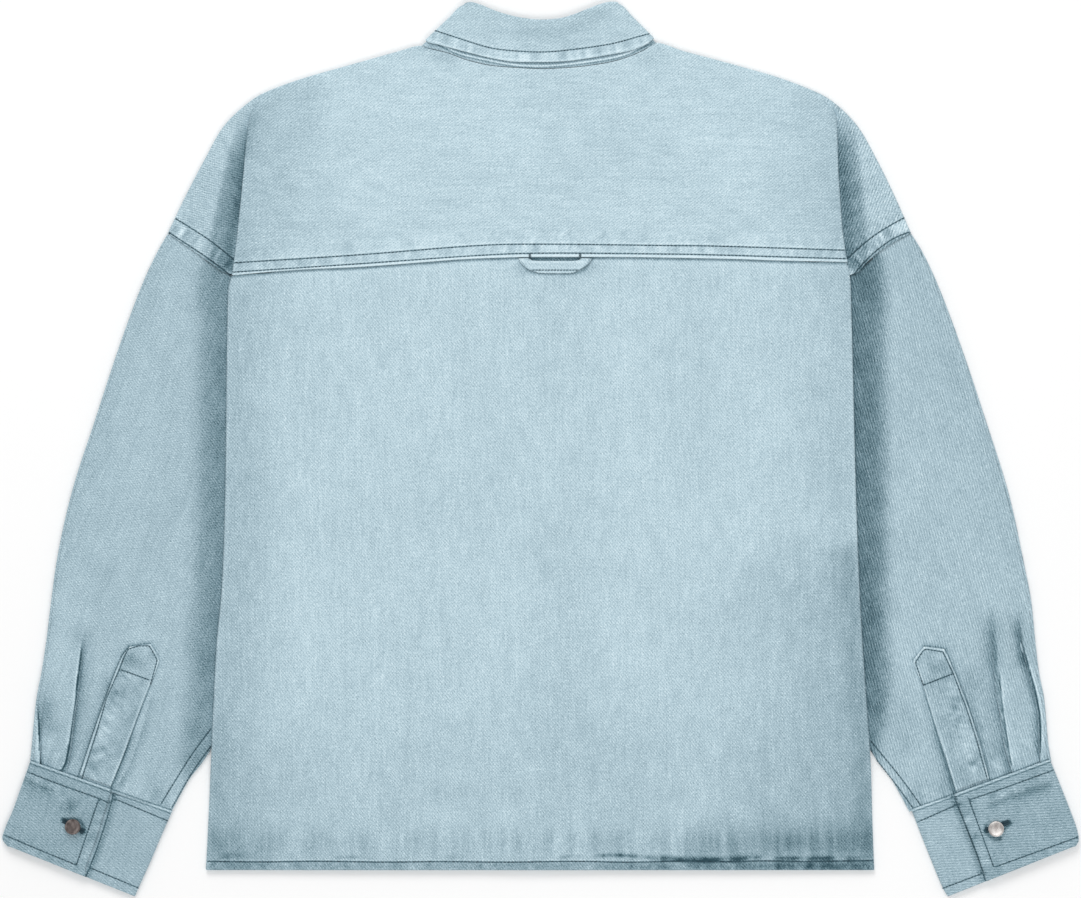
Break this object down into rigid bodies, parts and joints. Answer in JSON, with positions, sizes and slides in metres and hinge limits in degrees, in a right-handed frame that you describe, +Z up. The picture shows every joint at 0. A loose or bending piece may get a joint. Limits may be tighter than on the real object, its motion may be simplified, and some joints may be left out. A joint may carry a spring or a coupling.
{
  "type": "denim shirt",
  "caption": "Boxy washed denim shirt with dropped shoulders, a back yoke with a locker loop and pleated cuffs, laid flat with its back up.",
  "frame": {"origin": "on the surface that the shirt lies on, below the middle of its whole outline", "axes": "+Z up out of the shirt's back, +Y towards the collar, +X towards the wearer's right sleeve"},
  "size_m": [0.9689, 0.8051, 0.0116],
  "materials": {
    "body_denim": "washed light blue twill, matt",
    "sleeve_denim": "washed light blue twill, matt, a little darker",
    "cuff_denim": "washed blue twill, matt, darker at the cuffs",
    "collar_denim": "washed light blue twill, matt",
    "button_metal": "worn shank button metal, satin"
  },
  "bodies": {
    "root": {"back_yoke": "body_denim", "back_panel": "body_denim", "front_left": "body_denim", "front_right": "body_denim", "sleeve_left": "sleeve_denim", "sleeve_right": "sleeve_denim", "cuff_left": "cuff_denim", "cuff_right": "cuff_denim", "placket_left": "sleeve_denim", "placket_right": "sleeve_denim", "collar_stand": "collar_denim", "collar_fall": "collar_denim", "locker_loop": "body_denim", "cuff_button_left": "button_metal", "cuff_button_right": "button_metal", "front_button_1": "button_metal", "front_button_2": "button_metal", "front_button_3": "button_metal", "front_button_4": "button_metal", "front_button_5": "button_metal", "front_button_6": "button_metal", "front_button_7": "button_metal"}
  },
  "joints": []
}
